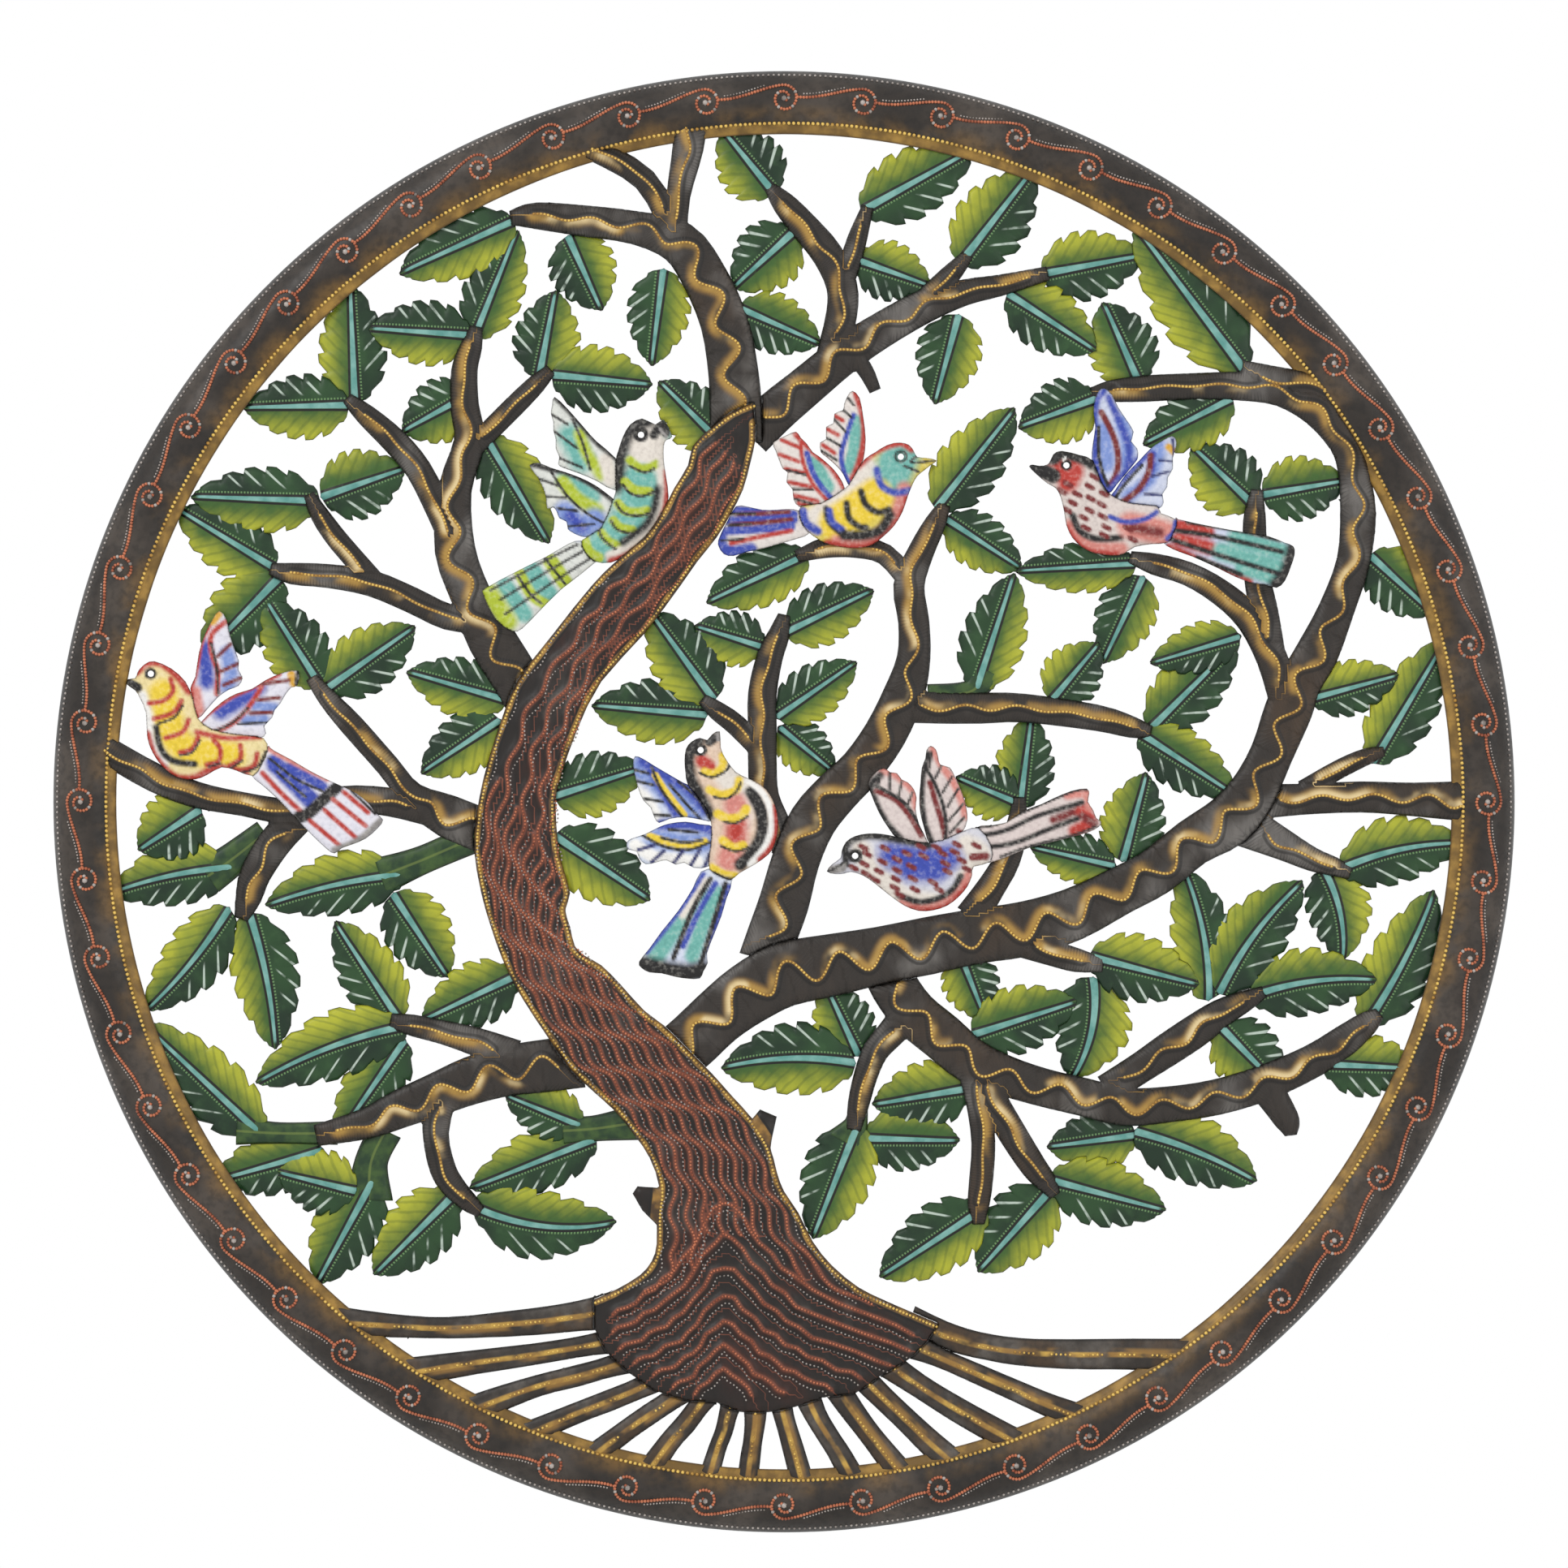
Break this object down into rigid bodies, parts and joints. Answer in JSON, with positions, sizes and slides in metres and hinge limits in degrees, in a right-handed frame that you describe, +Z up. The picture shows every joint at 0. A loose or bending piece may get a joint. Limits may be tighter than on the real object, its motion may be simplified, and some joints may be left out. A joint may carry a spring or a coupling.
{
  "type": "tree of life wall disc",
  "caption": "Round steel wall panel: a scrolled rim around a tree with a chased trunk, roots, boughs, toothed leaves and perched birds.",
  "frame": {"origin": "centre of the round rim, midway between the wall plane and the rim's crown", "axes": "+Y out of the back, towards the wall; -Y is the decorated front; +Z up, the tree stands upright; +X to the right seen from the front"},
  "size_m": [0.6099, 0.01, 0.61],
  "materials": {
    "rim_paint": "dark bronze paint with gold and copper dots, satin varnish",
    "bark_paint": "dark brown paint with copper and grey lines, satin varnish",
    "bough_paint": "dark steel grey paint with gold lines, satin varnish",
    "leaf_paint": "dark green and yellow-green paint with turquoise midribs, satin varnish",
    "bird_body_paint": "many-coloured paint, satin varnish",
    "bird_wing_paint": "blue, grey and white paint with dark strokes, satin varnish",
    "wire": "bare drawn wire"
  },
  "bodies": {
    "root": {"rim": "rim_paint", "trunk": "bark_paint", "hanging_loops": "wire", "root_01": "bough_paint", "root_02": "bough_paint", "root_03": "bough_paint", "root_04": "bough_paint", "root_05": "bough_paint", "root_06": "bough_paint", "root_07": "bough_paint", "root_08": "bough_paint", "root_09": "bough_paint", "root_10": "bough_paint", "root_11": "bough_paint", "root_12": "bough_paint", "root_13": "bough_paint", "root_14": "bough_paint", "root_15": "bough_paint", "bough_crown_left": "bough_paint", "bough_crown_right": "bough_paint", "bough_left_upper": "bough_paint", "bough_left_middle": "bough_paint", "bough_left_lower": "bough_paint", "bough_right_main": "bough_paint", "bough_right_side": "bough_paint", "bough_middle": "bough_paint", "bough_lower_right": "bough_paint", "twig_centre": "bough_paint", "leaves_crown_left": "leaf_paint", "leaves_crown_right": "leaf_paint", "leaves_left_top": "leaf_paint", "leaves_left_outer": "leaf_paint", "leaves_left_middle": "leaf_paint", "leaves_left_lower": "leaf_paint", "leaves_trunk_left": "leaf_paint", "leaves_centre": "leaf_paint", "leaves_middle": "leaf_paint", "leaves_right_top": "leaf_paint", "leaves_right_middle": "leaf_paint", "leaves_right_side": "leaf_paint", "leaves_lower_middle": "leaf_paint", "leaves_lower_right": "leaf_paint", "bird_left_body": "bird_body_paint", "bird_left_wings": "bird_wing_paint", "bird_top_middle_body": "bird_body_paint", "bird_top_middle_wings": "bird_wing_paint", "bird_top_right_body": "bird_body_paint", "bird_top_right_wings": "bird_wing_paint", "bird_far_left_body": "bird_body_paint", "bird_far_left_wings": "bird_wing_paint", "bird_centre_body": "bird_body_paint", "bird_centre_wings": "bird_wing_paint", "bird_low_right_body": "bird_body_paint", "bird_low_right_wings": "bird_wing_paint"}
  },
  "joints": []
}
